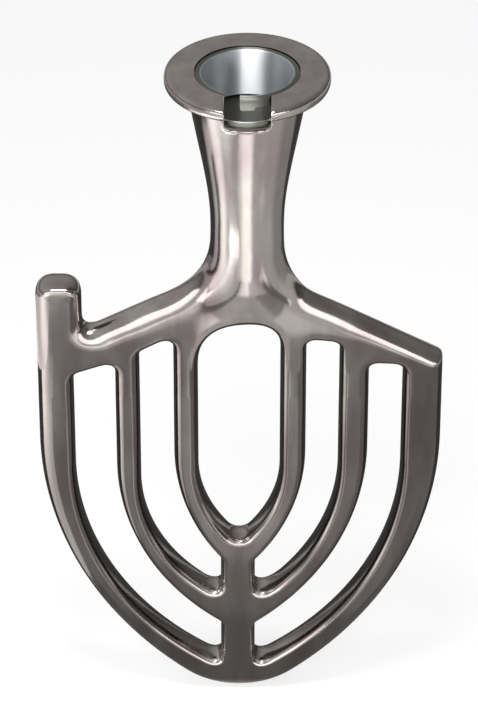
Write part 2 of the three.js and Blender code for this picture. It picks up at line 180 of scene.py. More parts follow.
# How finely curves are stepped, how far a cut runs past the material, and how the skin is smoothed
ROUND_STEPS = 192
CURVE_STEPS = 40
CORNER_STEPS = 9
EDGE_STEPS = 7
ROOT_STEPS = 24
OVERRUN = 5.0
WELD = 0.002
VOXEL = 0.6
SMOOTHING_FACTOR = 0.5
SKIN_TURNS = 5
HOLLOW_TURNS = 80
ROOT_TURNS = 60
FLAT_RING_SHARE = 1.1
SEAM_LEVEL = -118.0
SEAM_HEIGHT = 1.0
SHARP_ANGLE = math.radians(32)

# Sizes and levels that follow from those above
LINER_OUTER_RADIUS = LINER_BORE_RADIUS + LINER_WALL
BORE_RADIUS = LINER_OUTER_RADIUS + PRESS_CLEARANCE
BORE_DEPTH = LINER_DEPTH + BORE_FLOOR_CLEARANCE
HUB_RADIUS = BORE_RADIUS + HUB_WALL
FLANGE_RADIUS = HUB_RADIUS + FLANGE_WIDTH
NOTCH_WIDTH = 2 * SLOT_WIDTH + TONGUE_WIDTH
FRONT_CUT_BACK = -LINER_BORE_RADIUS / math.sqrt(2)
SHOULDER_LEVEL = -SHOULDER_DEPTH
CENTRAL_TOP_LEVEL = SHOULDER_LEVEL - CROSS_BAR_HEIGHT
INNER_INSIDE_LEVEL = CENTRAL_TOP_LEVEL - CENTRAL_WINDOW_HEIGHT
INNER_OUTSIDE_LEVEL = INNER_INSIDE_LEVEL - INNER_BLADE_FOOT
MIDDLE_INSIDE_LEVEL = INNER_OUTSIDE_LEVEL - MIDDLE_WINDOW_FOOT
MIDDLE_OUTSIDE_LEVEL = MIDDLE_INSIDE_LEVEL - MIDDLE_BLADE_FOOT
OUTER_INSIDE_LEVEL = MIDDLE_OUTSIDE_LEVEL - OUTER_WINDOW_FOOT
TIP_LEVEL = OUTER_INSIDE_LEVEL - OUTER_BLADE_FOOT

# Finish of the casting: the width of its patches and how much longer they are, and the width and height of
# its waves and grain. Real tumbling marks are some 0.05 mm wide, too fine to show, so the grain is coarser.
PATCH_WIDTH = 9.0
PATCH_STRETCH = 4
WAVE_WIDTH = 5.0
WAVE_HEIGHT = 0.03
GRAIN_WIDTH = 0.9
GRAIN_HEIGHT = 0.004
BURNISHED_ROUGHNESS = (0.12, 0.2)
DULL_ADDED_ROUGHNESS = 0.3
# How far behind the bore's wall and floor, and behind the liner's wall, the bright metal runs into the
# painted shade there, on the bore also into its added roughness: from where to where
BORE_WALL_BLEND = (0.1, 0.3)
BORE_FLOOR_BLEND = (0.2, 0.6)
LINER_BLEND = (0.1, 0.5)

# Studio. A brightness of 1 is that of white paper in the render.
FLOOR_REACH = 6000.0
PAPER_GLOW = 0.66
# The sky is darker to the right, between these X of its directions, and loses all but a share of its
# brightness towards the floor, between these Z
SKY_SIDES = (-0.5, 0.7)
SKY_LEFT = 0.8
SKY_RIGHT = 0.32
SKY_HEIGHTS = (0.05, 0.45)
SKY_LOW_SHARE = 0.3

# Soft lights: place, target, width and height, brightness
SOFTBOXES = {
    "front_softbox": ((0, -700, 40), (0, 0, -90), (1700, 310), 3.6),
    "bore_light": ((-28, -105, 190), (0, 10, -10), (150, 70), 24.0),
    "waist_softbox": ((-128, -127, -146), (0, 0, -54), (128, 50), 3.2),
    "low_softbox": ((0, -375, FLOOR_LEVEL + 3), (0, 0, 0), (700, 90), 1.7),
}

# Plain cards, which only the metal's reflections see: two corners in X and Y, level, brightness. Those at
# the raised level are for the shank and the root, and the plate's faces look past nearly all of them.
RAISED_LEVEL = -110.0
PLAIN_CARDS = {
    "back_card": ((-280, 8), (280, 420), FLOOR_LEVEL + 1, 0.08),
    "far_back_card": ((-600, 8), (600, 700), FLOOR_LEVEL + 0.5, 0.4),
    "right_card": ((70, -300), (300, 10), FLOOR_LEVEL + 0.7, 0.3),
    "horn_card": ((-112, -270), (-78, -206), FLOOR_LEVEL + 2, 0.4),
    "hollow_card": ((-13, -205), (9, -95), FLOOR_LEVEL + 3, 1.2),
    "spine_card": ((-78, -75), (78, 6), FLOOR_LEVEL + 3, 0.36),
    "tip_card": ((-78, -42), (78, 6), FLOOR_LEVEL + 4, 0.24),
    "far_crest_card": ((46, -54), (55, -38), RAISED_LEVEL, 2.6),
}

# Graded cards: two corners, level, and stops of X and brightness
GRADED_CARDS = {
    "left_card": ((-330, -200), (-125, 8), FLOOR_LEVEL + 1,
                  [(-330, 3.2), (-235, 2.9), (-200, 1.9), (-125, 1.3)]),
    "front_card": ((-78, -250), (78, 6), FLOOR_LEVEL + 2,
                   [(-78, 0.32), (-50, 0.4), (-25, 0.56), (0, 0.66), (25, 0.5), (45, 0.44), (62, 0.3),
                    (78, 0.25)]),
    "root_card": ((-16, -54), (34, -31), RAISED_LEVEL,
                  [(-16, 1.4), (-9, 2.6), (1, 3.2), (5, 1.5), (20, 1.4), (34, 0.9)]),
    "foot_card": ((-16, -31), (34, -9), RAISED_LEVEL,
                  [(-16, 1.0), (-6, 1.1), (4, 0.9), (10, 1.0), (14, 0.62), (20, 0.56), (34, 0.46)]),
    "crest_card": ((34, -54), (46, -46), RAISED_LEVEL, [(34, 1.8), (46, 2.6)]),
}

# Raised cards that lie round the shank: two corners. They share their stops of azimuth and brightness. The
# azimuth is about the hub's axis, in degrees from straight ahead of the beater towards +X.
SHANK_CARDS = {
    "shank_card_ahead": ((-34, -130), (140, -54)),
    "shank_card_left": ((-118, -58), (-70, 40)),
    "shank_card_right_ahead": ((55, -54), (70, -24)),
    "shank_card_right": ((70, -54), (140, 60)),
}
AROUND_SHANK = [
    (-180, 0.5), (-130, 0.6), (-110, 0.95), (-90, 1.6), (-80, 3.0), (-70, 3.0), (-58, 1.15), (-30, 1.3),
    (-18, 2.0), (-10, 3.2), (8, 3.4), (16, 1.1), (30, 1.05), (72, 1.05), (90, 0.62), (140, 0.42), (180, 0.4),
]


def from_hex(colour):
    """An sRGB hex value as linear red, green, blue and alpha."""
    channels = [int(colour[i:i + 2], 16) / 255 for i in (1, 3, 5)]
    linear = [c / 12.92 if c <= 0.04045 else ((c + 0.055) / 1.055) ** 2.4 for c in channels]
    return (*linear, 1.0)


def node(tree, kind, settings=None, values=None, links=None):
    """Adds a node, sets its properties and input values, and links its inputs to other nodes' outputs."""
    made = tree.nodes.new(kind)
    for name, value in (settings or {}).items():
        setattr(made, name, value)
    for name, value in (values or {}).items():
        made.inputs[name].default_value = value
    for name, (source, output) in (links or {}).items():
        tree.links.new(source.outputs[output], made.inputs[name])
    return made


def new_material(name):
    material = bpy.data.materials.new(name)
    material.use_nodes = True
    material.node_tree.nodes.clear()
    return material, material.node_tree


def radius_of(tree, place):
    """The distance from the hub's axis."""
    flat = node(tree, "ShaderNodeVectorMath", settings={"operation": "MULTIPLY"}, values={1: (1, 1, 0)},
                links={0: (place, "Object")})
    return node(tree, "ShaderNodeVectorMath", settings={"operation": "LENGTH"}, links={0: (flat, "Vector")})


def inside_bore(tree, place):
    """1 on the bore's wall and floor, and 0 on the rest of the casting."""
    wall_start, wall_end = BORE_WALL_BLEND
    floor_start, floor_end = BORE_FLOOR_BLEND
    within = node(tree, "ShaderNodeMapRange",
                  values={"From Min": (BORE_RADIUS + wall_end) * MM,
                          "From Max": (BORE_RADIUS + wall_start) * MM},
                  links={"Value": (radius_of(tree, place), "Value")})
    axes = node(tree, "ShaderNodeSeparateXYZ", links={"Vector": (place, "Object")})
    above = node(tree, "ShaderNodeMapRange",
                 values={"From Min": (-BORE_DEPTH - floor_end) * MM,
                         "From Max": (-BORE_DEPTH - floor_start) * MM},
                 links={"Value": (axes, "Z")})
    return node(tree, "ShaderNodeMath", settings={"operation": "MULTIPLY"},
                links={0: (within, "Result"), 1: (above, "Result")})


def burnished_cast_aluminium():
    """Aluminium cast in a mould and tumbled bright: a smooth grey metal with a slight orange peel, whose
    gloss and warmth wander a little. Inside the bore, which the tumbling stones don't reach, it is rougher,
    and its wall and floor are painted dark as shade."""
    material, tree = new_material("burnished_cast_aluminium")
    place = node(tree, "ShaderNodeTexCoord")
    stretched = node(tree, "ShaderNodeMapping", values={"Scale": (1, 1, 1 / PATCH_STRETCH)},
                     links={"Vector": (place, "Object")})
    patches = node(tree, "ShaderNodeTexNoise", values={"Scale": 1 / (PATCH_WIDTH * MM), "Detail": 3.0},
                   links={"Vector": (stretched, "Vector")})
    tint = node(tree, "ShaderNodeValToRGB", links={"Fac": (patches, "Fac")})
    warm, cool = tint.color_ramp.elements
    warm.position, warm.color = 0.36, from_hex("#8b8180")
    cool.position, cool.color = 0.64, from_hex("#9b9792")
    bore_shade_and_dullness = inside_bore(tree, place)
    # Painted shade: the bore's wall and floor take a dark colour, as if in shadow; the same mask adds
    # roughness there
    colour = node(tree, "ShaderNodeMixRGB", values={"Color2": from_hex("#4c4d48")},
                  links={"Fac": (bore_shade_and_dullness, "Value"), "Color1": (tint, "Color")})
    glossiest, dullest = BURNISHED_ROUGHNESS
    burnished = node(tree, "ShaderNodeMapRange", values={"To Min": glossiest, "To Max": dullest},
                     links={"Value": (patches, "Fac")})
    roughness = node(tree, "ShaderNodeMath", settings={"operation": "MULTIPLY_ADD"},
                     values={1: DULL_ADDED_ROUGHNESS}, links={0: (bore_shade_and_dullness, "Value"), 2: (burnished, "Result")})
    waves = node(tree, "ShaderNodeTexNoise", values={"Scale": 1 / (WAVE_WIDTH * MM), "Detail": 1.0},
                 links={"Vector": (place, "Object")})
    grain = node(tree, "ShaderNodeTexNoise", values={"Scale": 1 / (GRAIN_WIDTH * MM), "Detail": 2.0},
                 links={"Vector": (place, "Object")})
    waved = node(tree, "ShaderNodeBump", values={"Strength": 1.0, "Distance": WAVE_HEIGHT * MM},
                 links={"Height": (waves, "Fac")})
    grained = node(tree, "ShaderNodeBump", values={"Strength": 1.0, "Distance": GRAIN_HEIGHT * MM},
                   links={"Height": (grain, "Fac"), "Normal": (waved, "Normal")})
    shader = node(tree, "ShaderNodeBsdfPrincipled", values={"Metallic": 1.0},
                  links={"Base Color": (colour, "Color"), "Roughness": (roughness, "Value"),
                         "Normal": (grained, "Normal")})
    node(tree, "ShaderNodeOutputMaterial", links={"Surface": (shader, "BSDF")})
    return material


def turned_steel():
    """Steel turned on a lathe: the fine grooves run round the bore, so lights stretch into upright bands.
    The bore is bright steel; the lip and the outside are painted dark, as the shade in the seam round the lip
    and in the notch."""
    material, tree = new_material("turned_steel")
    place = node(tree, "ShaderNodeTexCoord")
    blend_start, blend_end = LINER_BLEND
    outside = node(tree, "ShaderNodeMapRange",
                   values={"From Min": (LINER_BORE_RADIUS + blend_start) * MM,
                           "From Max": (LINER_BORE_RADIUS + blend_end) * MM},
                   links={"Value": (radius_of(tree, place), "Value")})
    # Painted shade: beyond the bore the lip and the outer wall take a dark colour, for the shade in the seam
    # round the lip and in the notch
    tint = node(tree, "ShaderNodeValToRGB", links={"Fac": (outside, "Result")})
    bore_steel, painted_shade = tint.color_ramp.elements
    bore_steel.color, painted_shade.color = from_hex("#d2d4d8"), from_hex("#72736c")
    around = node(tree, "ShaderNodeTangent", settings={"direction_type": "RADIAL", "axis": "Z"})
    shader = node(tree, "ShaderNodeBsdfPrincipled",
                  values={"Metallic": 1.0, "Roughness": 0.42, "Anisotropic": 1.0,
                          "Anisotropic Rotation": 0.25},
                  links={"Base Color": (tint, "Color"), "Tangent": (around, "Tangent")})
    node(tree, "ShaderNodeOutputMaterial", links={"Surface": (shader, "BSDF")})
    return material


def bezier(corners, steps):
    """Points of the Bezier curve that these corners pull."""
    points = []
    for i in range(steps + 1):
        pulled = [Vector(corner) for corner in corners]
        while len(pulled) > 1:
            pulled = [a.lerp(b, i / steps) for a, b in zip(pulled, pulled[1:])]
        points.append(pulled[0])
    return points


def trimmed(points, length):
    """A run of points with this length cut off its end."""
    kept = [point.copy() for point in points]
    left = length
    while len(kept) > 2 and left > (kept[-1] - kept[-2]).length:
        left -= (kept[-1] - kept[-2]).length
        kept.pop()
    last = kept.pop()
    run = (last - kept[-1]).length
    kept.append(last.lerp(kept[-1], min(left / run, 1)))
    return kept


def with_widths(run, start_width, end_width):
    """Pairs each point of a run with its edge width, which changes steadily along the run."""
    lengths = [0.0]
    for before, after in zip(run, run[1:]):
        lengths.append(lengths[-1] + (after - before).length)
    growth = (end_width - start_width) / max(lengths[-1], WELD)
    return [(point, start_width + growth * length) for point, length in zip(run, lengths)]


def rounded_outline(sides, radii, edge_widths=None):
    """A closed outline of sides that meet end to start, with a corner of radii[i] where side i ends."""
    edge_widths = edge_widths or [(0, 0)] * len(sides)
    cut_back = []
    for i, side in enumerate(sides):
        after = sides[(i + 1) % len(sides)]
        turn = (side[-1] - side[-2]).angle(after[1] - after[0])
        cut_back.append(radii[i] * math.tan(turn / 2))
    outline = []
    for i, side in enumerate(sides):
        run = trimmed(trimmed(side[::-1], cut_back[i - 1])[::-1], cut_back[i])
        outline += with_widths(run, *edge_widths[i])
        if cut_back[i] > 0:
            after = sides[(i + 1) % len(sides)]
            landing = trimmed(after[::-1], cut_back[i])[-1]
            corner = bezier([run[-1], side[-1], landing], CORNER_STEPS)
            next_width = edge_widths[(i + 1) % len(sides)][0]
            outline += with_widths(corner, edge_widths[i][1], next_width)[1:-1]
    return [pair for i, pair in enumerate(outline) if (pair[0] - outline[i - 1][0]).length > WELD]


def blade_edge(side, half, bottom_level, shape, top_level, reach):
    """One side of a blade edge, from top_level down to where it is reach from the plate's middle line: a
    straight at half the edge's width, a large side arc, and an arc on the line down to bottom_level."""
    radius, curve = shape["radius"], shape["curve"][side]
    drop = curve - radius
    side_radius = (half ** 2 + drop ** 2 - radius ** 2) / (2 * (half - radius))
    turn = math.atan2(drop, side_radius - half)
    turn_to_reach = math.acos(1 - (half - reach) / side_radius)
    points = [Vector((half, top_level))]
    for i in range(CURVE_STEPS + 1):
        angle = min(turn, turn_to_reach) * i / CURVE_STEPS
        across = half - side_radius * (1 - math.cos(angle))
        points.append(Vector((across, bottom_level + curve - side_radius * math.sin(angle))))
    if turn < turn_to_reach:
        end = math.acos(reach / radius)
        for i in range(1, CURVE_STEPS + 1):
            angle = turn + (end - turn) * i / CURVE_STEPS
            points.append(Vector((radius * math.cos(angle), bottom_level + radius * (1 - math.sin(angle)))))
    return [Vector((FRAME_OFFSET + side * point.x, point.y)) for point in points]


def half_width(side, *pieces):
    """How far these blades and windows reach from the plate's middle line."""
    return CENTRAL_WINDOW / 2 + sum(WIDTHS[side][piece] for piece in pieces)


def blade_window(side, rim, near, top):
    """A window between two blades: its rim edge down to the spine, up it, and the near edge back."""
    reach = SPINE_WIDTH / 2 + side * SPINE_OFFSET
    top_level = CENTRAL_TOP_LEVEL - top["drop"]
    rim_points = blade_edge(side, *rim, top_level - top["fall"], reach)
    near_points = blade_edge(side, *near, top_level, reach)[::-1]
    sides = [rim_points, [rim_points[-1], near_points[0]], near_points, [near_points[-1], rim_points[0]]]
    radii = [SPINE_CORNER, SPINE_CORNER, WINDOW_CORNER, WINDOW_CORNER]
    return rounded_outline(sides, radii, [(WINDOW_EDGE, WINDOW_EDGE)] * 4)


def side_windows(side):
    """The middle and the outer window on one side. Each edge is its half width, bottom level and shape."""
    inner_outside = (half_width(side, *PIECES[:1]), INNER_OUTSIDE_LEVEL, INNER_OUTSIDE)
    middle_inside = (half_width(side, *PIECES[:2]), MIDDLE_INSIDE_LEVEL, MIDDLE_INSIDE)
    middle_outside = (half_width(side, *PIECES[:3]), MIDDLE_OUTSIDE_LEVEL, MIDDLE_OUTSIDE)
    outer_inside = (half_width(side, *PIECES[:4]), OUTER_INSIDE_LEVEL, OUTER_INSIDE)
    return [blade_window(side, middle_inside, inner_outside, MIDDLE_TOP[side]),
            blade_window(side, outer_inside, middle_outside, OUTER_TOP[side])]


def central_window():
    edge = (CENTRAL_WINDOW / 2, INNER_INSIDE_LEVEL, INNER_INSIDE, CENTRAL_TOP_LEVEL, 0)
    left = blade_edge(-1, *edge)
    right = blade_edge(1, *edge)[::-1]
    sides = [left, right, [right[-1], left[0]]]
    radii = [0, CENTRAL_CORNER_RIGHT, CENTRAL_CORNER_LEFT]
    return rounded_outline(sides, radii, [(WINDOW_EDGE, WINDOW_EDGE)] * 3)


def frame_outline():
    """From the shank down the left arm, round the horn and the blade, and up the right arm."""
    neck_top = -BORE_DEPTH
    saddle_level = SHOULDER_LEVEL - SADDLE_DROP
    horn_top = saddle_level + HORN_HEIGHT
    left_rim = blade_edge(-1, half_width(-1, *PIECES), TIP_LEVEL, TIP, horn_top, 0)
    corner_level = SHOULDER_LEVEL - CORNER_DROP_RIGHT
    right_rim = blade_edge(1, half_width(1, *PIECES), TIP_LEVEL, TIP, corner_level, 0)[::-1]
    horn_right = left_rim[0].x + HORN_WIDTH
    corners = [Vector(corner) for corner in (
        (-WAIST_RADIUS, neck_top),
        (-WAIST_RADIUS, SHOULDER_LEVEL),
        (horn_right, saddle_level),
        (horn_right, horn_top),
        left_rim[0],
    )]
    sides = [list(pair) for pair in zip(corners, corners[1:])]
    shoulder = Vector((WAIST_RADIUS, SHOULDER_LEVEL - SHOULDER_DROP_RIGHT))
    neck_corner = Vector((WAIST_RADIUS, neck_top))
    sides += [left_rim, right_rim, [right_rim[-1], shoulder], [shoulder, neck_corner],
              [neck_corner, corners[0]]]
    radii = [SHOULDER_RADIUS_LEFT, SADDLE_RADIUS, HORN_CORNER_RADIUS, HORN_CORNER_RADIUS,
             0, 0, SHOULDER_RADIUS_RIGHT, 0, 0]
    edge_widths = [
        (ARM_EDGE, ARM_EDGE),
        (ARM_EDGE, ARM_EDGE),
        (HORN_INSIDE_EDGE, HORN_INSIDE_EDGE),
        (HORN_TOP_EDGE, HORN_TOP_EDGE),
        (RIM_EDGE_LEFT, RIM_EDGE_LEFT),
        (RIM_EDGE_LEFT, RIM_EDGE_RIGHT),
        (ARM_END_EDGE, ARM_EDGE),
        (ARM_EDGE, ARM_EDGE),
        (ARM_EDGE, ARM_EDGE),
    ]
    return rounded_outline(sides, radii, edge_widths)


def inset_ring(outline, share):
    """The outline's points, moved into the material on their left by a share of their edge widths."""
    ring = []
    for i, (point, width) in enumerate(outline):
        before = (point - outline[i - 1][0]).normalized()
        after = (outline[(i + 1) % len(outline)][0] - point).normalized()
        along = before + after
        ring.append(point + Vector((-along.y, along.x)) * (2 * width * share / along.length_squared))
    return ring


def area(outline):
    """The outline's area: positive where it runs against the clock."""
    return sum(outline[i - 1][0].cross(point) for i, (point, _) in enumerate(outline)) / 2


def loop_at(skin, places):
    """A closed loop of edges through these places."""
    corners = [skin.verts.new(Vector(place) * MM) for place in places]
    return [skin.edges.new((corners[i - 1], corner)) for i, corner in enumerate(corners)]


def frame_plate():
    """The plate. Its edges round over like quarter ellipses, from the parting band in the middle of its
    thickness to the flat faces, and the flat faces start with one more ring that keeps their shading flat."""
    outlines = [frame_outline(), central_window(), *side_windows(-1), *side_windows(1)]
    for i, outline in enumerate(outlines):
        if (area(outline) > 0) != (i == 0):
            outline.reverse()
    back = []
    for i in range(EDGE_STEPS + 1):
        angle = math.pi * i / (2 * EDGE_STEPS)
        depth = PARTING_BAND / 2 + (FRAME_THICKNESS - PARTING_BAND) / 2 * math.sin(angle)
        back.append((depth, 1 - math.cos(angle)))
    back.append((FRAME_THICKNESS / 2, FLAT_RING_SHARE))
    sections = [(-depth, share) for depth, share in back[::-1]] + back
    skin = bmesh.new()
    front_edges = []
    back_edges = []
    for outline in outlines:
        loops = []
        for depth, share in sections:
            ring = inset_ring(outline, share)
            loops.append(loop_at(skin, [(point.x, depth, point.y) for point in ring]))
        for before, after in zip(loops, loops[1:]):
            bmesh.ops.bridge_loops(skin, edges=before + after)
        front_edges += loops[0]
        back_edges += loops[-1]
    for edges in (front_edges, back_edges):
        bmesh.ops.triangle_fill(skin, use_beauty=True, edges=edges)
    return skin


def spun(profile, closed=False):
    """A solid of revolution about the hub's axis, from a profile of (radius, level) places."""
    skin = bmesh.new()
    corners = [skin.verts.new((radius * MM, 0, level * MM)) for radius, level in profile]
    pairs = list(zip(corners, corners[1:] + corners[:1]))
    edges = [skin.edges.new(pair) for pair in (pairs if closed else pairs[:-1])]
    bmesh.ops.spin(skin, geom=corners + edges, cent=(0, 0, 0), axis=(0, 0, 1), angle=2 * math.pi,
                   steps=ROUND_STEPS, use_merge=True)
    return skin


def flange():
    """The flange, with the fillet under it that runs into the hub."""
    under = -FLANGE_THICKNESS
    inner = FLANGE_RADIUS - FLANGE_EDGE_ROUND
    profile = [(0, under - UNDER_FLANGE_FILLET)]
    profile += bezier([(HUB_RADIUS, under - UNDER_FLANGE_FILLET), (HUB_RADIUS, under),
                       (HUB_RADIUS + UNDER_FLANGE_FILLET, under)], CORNER_STEPS)
    profile += bezier([(inner, under), (FLANGE_RADIUS, under), (FLANGE_RADIUS, under + FLANGE_EDGE_ROUND)],
                      CORNER_STEPS)
    profile += bezier([(FLANGE_RADIUS, -FLANGE_EDGE_ROUND), (FLANGE_RADIUS, 0), (inner, 0)], CORNER_STEPS)
    return spun(profile + [(0, 0)])


def smooth_value(places, values, at):
    """The value at a place between listed ones, on a smooth curve through them."""
    i = max(k for k in range(len(places) - 1) if places[k] <= at)
    span = places[i + 1] - places[i]
    t = (at - places[i]) / span
    slopes = []
    for k in (i, i + 1):
        low, high = max(k - 1, 0), min(k + 1, len(places) - 1)
        slopes.append((values[high] - values[low]) / (places[high] - places[low]) * span)
    rise = values[i + 1] - values[i]
    return values[i] + t * (slopes[0] + t * (3 * rise - 2 * slopes[0] - slopes[1]
                                             + t * (slopes[0] + slopes[1] - 2 * rise)))


def shank_rings():
    """Half width, half depth, curve power and level of the level sections from the hub to the root's foot."""
    waist = -WAIST_DEPTH
    taper = waist + FLANGE_THICKNESS
    upper_radius = WAIST_RADIUS + (HUB_RADIUS - WAIST_RADIUS) * UPPER_PULL_RADIUS
    flare = bezier([(HUB_RADIUS, -FLANGE_THICKNESS - UNDER_FLANGE_FILLET),
                    (upper_radius, taper * UPPER_PULL_HEIGHT - FLANGE_THICKNESS),
                    (WAIST_RADIUS, taper * LOWER_PULL_HEIGHT - FLANGE_THICKNESS),
                    (WAIST_RADIUS, waist)], CURVE_STEPS)
    top_inside = (HUB_RADIUS - UNDER_FLANGE_FILLET, -FLANGE_THICKNESS / 2)
    rings = [(radius, radius, 2, level) for radius, level in (top_inside, *flare)]
    top = ROOT_OVERLAP - WAIST_DEPTH
    bottom = CENTRAL_TOP_LEVEL + ROOT_FOOT_MARGIN
    first_height = (waist - top) / (bottom - top)
    for step in range(1, ROOT_STEPS + 1):
        height = first_height + (1 - first_height) * step / ROOT_STEPS
        width, depth, power = (smooth_value(ROOT_HEIGHTS, values, height)
                               for values in (ROOT_WIDENING, ROOT_THINNING, ROOT_POWERS))
        half_across = WAIST_RADIUS + (ROOT_HALF_WIDTH - WAIST_RADIUS) * width
        half_deep = WAIST_RADIUS + (ROOT_HALF_DEPTH - WAIST_RADIUS) * depth
        rings.append((half_across, half_deep, power, top + (bottom - top) * height))
    return rings


def shank():
    """Hub and shank as one skin over level rings: round and tapering down to the waist, below which the
    sections swell sideways as they lose depth and run into the cross bar."""
    skin = bmesh.new()
    loops = []
    for half_across, half_deep, power, level in shank_rings():
        ring = []
        for k in range(ROUND_STEPS):
            angle = 2 * math.pi * k / ROUND_STEPS
            across, deep = (math.copysign(abs(value) ** (2 / power), value)
                            for value in (math.cos(angle), math.sin(angle)))
            ring.append((half_across * across, half_deep * deep, level))
        loops.append(loop_at(skin, ring))
    for before, after in zip(loops, loops[1:]):
        bmesh.ops.bridge_loops(skin, edges=before + after)
    for loop in (loops[0], loops[-1]):
        bmesh.ops.triangle_fill(skin, use_beauty=True, edges=loop)
    return skin


def solid(name, skin):
    """An object from a closed bmesh, welded and with its faces outwards."""
    bmesh.ops.remove_doubles(skin, verts=skin.verts, dist=WELD * MM)
    bmesh.ops.recalc_face_normals(skin, faces=skin.faces)
    mesh = bpy.data.meshes.new(name)
    skin.to_mesh(mesh)
    skin.free()
    made = bpy.data.objects.new(name, mesh)
    bpy.context.scene.collection.objects.link(made)
    return made


def apply_modifiers(piece):
    mesh = bpy.data.meshes.new_from_object(piece.evaluated_get(bpy.context.evaluated_depsgraph_get()))
    piece.modifiers.clear()
    piece.data = mesh


def combine(piece, tools, operation):
    """Joins other solids to the piece or cuts them from it, and removes them."""
    for tool in tools:
        modifier = piece.modifiers.new(operation.lower(), "BOOLEAN")
        modifier.operation = operation
        modifier.solver = "MANIFOLD"
        modifier.object = tool
    apply_modifiers(piece)
    for tool in tools:
        bpy.data.objects.remove(tool)


def extruded(outline, front, back):
    """A prism from front to back along Y, from an outline of (x, level) places."""
    skin = bmesh.new()
    edges = loop_at(skin, [(x, front, level) for x, level in outline])
    face = bmesh.ops.triangle_fill(skin, use_beauty=True, edges=edges)["geom"]
    moved = bmesh.ops.extrude_face_region(skin, geom=face, use_keep_orig=True)["geom"]
    corners = [part for part in moved if isinstance(part, bmesh.types.BMVert)]
    bmesh.ops.translate(skin, verts=corners, vec=(0, (back - front) * MM, 0))
    return skin


def front_notch():
    """The notch through the front of the flange and hub."""
    half = NOTCH_WIDTH / 2
    floor = -SLOT_DEPTH - NOTCH_MARGIN
    outline = [(-half, floor), (half, floor), (half, OVERRUN), (-half, OVERRUN)]
    return solid("front_notch", extruded(outline, -FLANGE_RADIUS - OVERRUN, FRONT_CUT_BACK))


def hub_bore():
    """The blind bore, with a shallow seat for the liner's lip."""
    seat_radius = LINER_OUTER_RADIUS + LIP_WIDTH + PRESS_CLEARANCE
    seat_level = -LINER_RECESS - LIP_THICKNESS - PRESS_CLEARANCE
    profile = [(0, -BORE_DEPTH), (BORE_RADIUS, -BORE_DEPTH), (BORE_RADIUS, seat_level),
               (seat_radius, seat_level), (seat_radius, OVERRUN), (0, OVERRUN)]
    return solid("hub_bore", spun(profile))


def add_piece(name, piece, material, cad_node):
    """Names and finishes a piece, and puts it in its CAD node's place."""
    piece.name = name
    mesh = piece.data
    mesh.name = name
    mesh.materials.clear()
    mesh.materials.append(material)
    for face in mesh.polygons:
        face.use_smooth = True
    mesh.set_sharp_from_angle(angle=SHARP_ANGLE)
    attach(piece, ROOT)
    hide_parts(cad_node)


def smooth_skin(piece, turns, group=""):
    smooth = piece.modifiers.new("tumbling", "SMOOTH")
    smooth.factor = SMOOTHING_FACTOR
    smooth.iterations = turns
    smooth.vertex_group = group


def eased(value, start, end):
    """From 0 at the start to 1 at the end, smoothly."""
    share = min(max((value - start) / (end - start), 0), 1)
    return share * share * (3 - 2 * share)


def mark_root(piece):
    """Marks the root, and the hollow in which it runs out on the cross bar's faces, for their smoothing."""
    hollow = piece.vertex_groups.new(name="hollow")
    root = piece.vertex_groups.new(name="root")
    for vertex in piece.data.vertices:
        x, y, z = vertex.co / MM
        below_waist = eased(z, *ROOT_TOP)
        across, near_face = eased(abs(x), *HOLLOW_SIDES), eased(abs(y), *HOLLOW_FACES)
        in_hollow = below_waist * across * eased(z, *HOLLOW_BOTTOM) * near_face
        in_root = below_waist * eased(abs(x), *ROOT_SIDES) * eased(z, *ROOT_BOTTOM)
        for group, weight in ((hollow, in_hollow), (root, in_root)):
            if weight > 0:
                group.add([vertex.index], weight, "REPLACE")


def cut_level(skin, mesh, level, keep_above):
    """Adds the mesh's part on one side of a level to the skin, open at the cut."""
    half = bmesh.new()
    half.from_mesh(mesh)
    bmesh.ops.bisect_plane(half, geom=half.verts[:] + half.edges[:] + half.faces[:], dist=WELD * MM,
                           plane_co=(0, 0, level * MM), plane_no=(0, 0, 1),
                           clear_inner=keep_above, clear_outer=not keep_above)
    kept = bpy.data.meshes.new("half")
    half.to_mesh(kept)
    half.free()
    skin.from_mesh(kept)
    bpy.data.meshes.remove(kept)


def blade_spans():
    """Where each blade lies in X, between the levels where all of them run straight down."""
    spans = []
    for side in (-1, 1):
        for count in (0, 2, 4):
            near, far = (half_width(side, *PIECES[:end]) for end in (count, count + 1))
            spans.append(sorted((FRAME_OFFSET + side * near, FRAME_OFFSET + side * far)))
    return spans


def with_exact_blades(smoothed, exact):
    """The smoothed skin down to the straight blades and the exact one below, bridged blade by blade."""
    skin = bmesh.new()
    cut_level(skin, smoothed, SEAM_LEVEL + SEAM_HEIGHT, keep_above=True)
    cut_level(skin, exact, SEAM_LEVEL, keep_above=False)
    margin = OVERRUN / 2
    for low, high in blade_spans():
        rims = [edge for edge in skin.edges if edge.is_boundary
                and low - margin < edge.verts[0].co.x / MM < high + margin]
        bmesh.ops.bridge_loops(skin, edges=rims)
    return skin


def make_casting():
    """Plate, shank and flange, joined in one tumbled skin and bored, with exact blades below the seam."""
    exact = solid("exact_casting", frame_plate())
    casting = bpy.data.objects.new("casting", exact.data.copy())
    bpy.context.scene.collection.objects.link(casting)
    combine(casting, [solid("shank", shank()), solid("flange", flange())], "UNION")
    combine(casting, [front_notch()], "DIFFERENCE")
    remesh = casting.modifiers.new("cast_skin", "REMESH")
    remesh.mode = "VOXEL"
    remesh.voxel_size = VOXEL * MM
    smooth_skin(casting, SKIN_TURNS)
    apply_modifiers(casting)
    mark_root(casting)
    smooth_skin(casting, HOLLOW_TURNS, "hollow")
    smooth_skin(casting, ROOT_TURNS, "root")
    apply_modifiers(casting)
    combine(casting, [hub_bore()], "DIFFERENCE")
    finished = solid("burnished_casting", with_exact_blades(casting.data, exact.data))
    for made in (casting, exact):
        bpy.data.objects.remove(made)
    add_piece("burnished_casting", finished, burnished_cast_aluminium(), "beater_casting")


